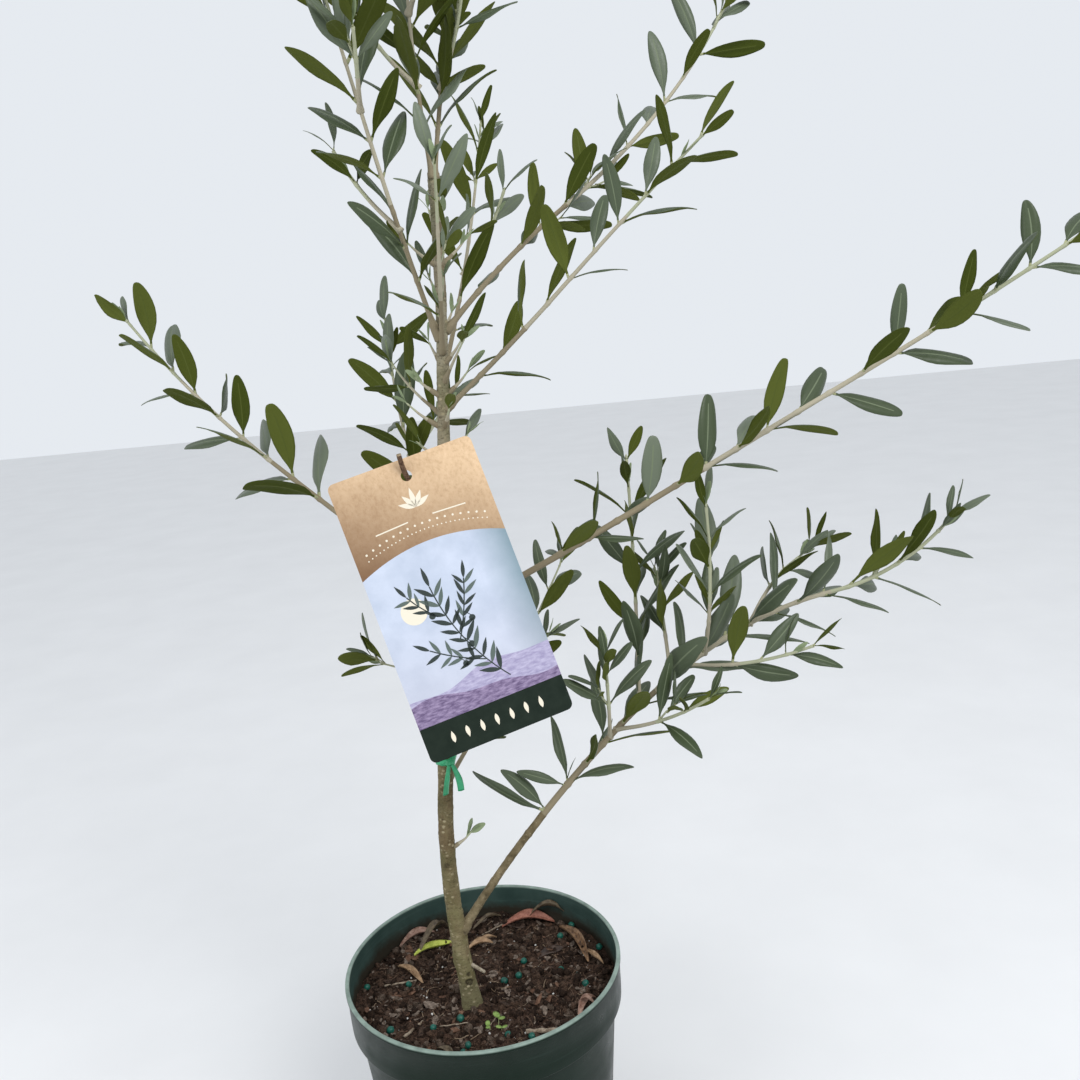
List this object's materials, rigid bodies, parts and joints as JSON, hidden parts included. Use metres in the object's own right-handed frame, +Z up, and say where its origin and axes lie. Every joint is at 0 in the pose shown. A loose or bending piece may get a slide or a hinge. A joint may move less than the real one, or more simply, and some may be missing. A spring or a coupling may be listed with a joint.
{
  "type": "potted olive tree",
  "caption": "Young olive tree with a slim leaning trunk, open boughs and narrow grey-green leaves in a round tapering nursery pot, with a hang tag.",
  "frame": {"origin": "middle of the pot's flat underside, on the surface that it stands on", "axes": "+Z up; +X to the right of someone who faces the hang tag; +Y behind the plant"},
  "size_m": [0.485, 0.2247, 0.7165],
  "materials": {
    "bark": "thin grey-brown bark with pale pores",
    "young_bark": "smooth pale grey-tan young bark",
    "foliage": "leathery leaves, blue-grey green above and olive green below",
    "pot_plastic": "injection-moulded dark green plastic, faintly scuffed",
    "potting_soil": "damp peat mix with bark and perlite",
    "card": "printed water-resistant card",
    "tie_plastic": "soft green tape"
  },
  "bodies": {
    "root": {"back_high_foliage": "foliage", "back_low_foliage": "foliage", "back_middle_foliage": "foliage", "back_right_foliage": "foliage", "front_high_foliage": "foliage", "garden_tie": "tie_plastic", "hang_tag": "card", "left_bough": "young_bark", "left_foliage": "foliage", "left_leader_foliage": "foliage", "long_right_bough": "young_bark", "long_right_foliage": "foliage", "low_right_bough": "young_bark", "low_right_foliage": "foliage", "pot": "pot_plastic", "right_leader_foliage": "foliage", "short_left_foliage": "foliage", "short_right_foliage": "foliage", "side_left_foliage": "foliage", "soil": "potting_soil", "sprout_foliage": "foliage", "tag_twig": "bark", "trunk": "bark", "trunk_spur_01_foliage": "foliage", "trunk_spur_02_foliage": "foliage", "trunk_spur_03_foliage": "foliage", "trunk_spur_04_foliage": "foliage", "trunk_spur_05_foliage": "foliage", "trunk_spur_06_foliage": "foliage", "trunk_spur_07_foliage": "foliage", "trunk_spur_08_foliage": "foliage", "trunk_spur_09_foliage": "foliage", "trunk_spur_10_foliage": "foliage", "trunk_spur_11_foliage": "foliage", "trunk_spur_12_foliage": "foliage", "trunk_spur_13_foliage": "foliage", "trunk_spur_14_foliage": "foliage", "trunk_spur_15_foliage": "foliage", "trunk_spur_16_foliage": "foliage", "upper_left_foliage": "foliage", "upper_right_back_foliage": "foliage", "upper_right_front_foliage": "foliage"}
  },
  "joints": []
}
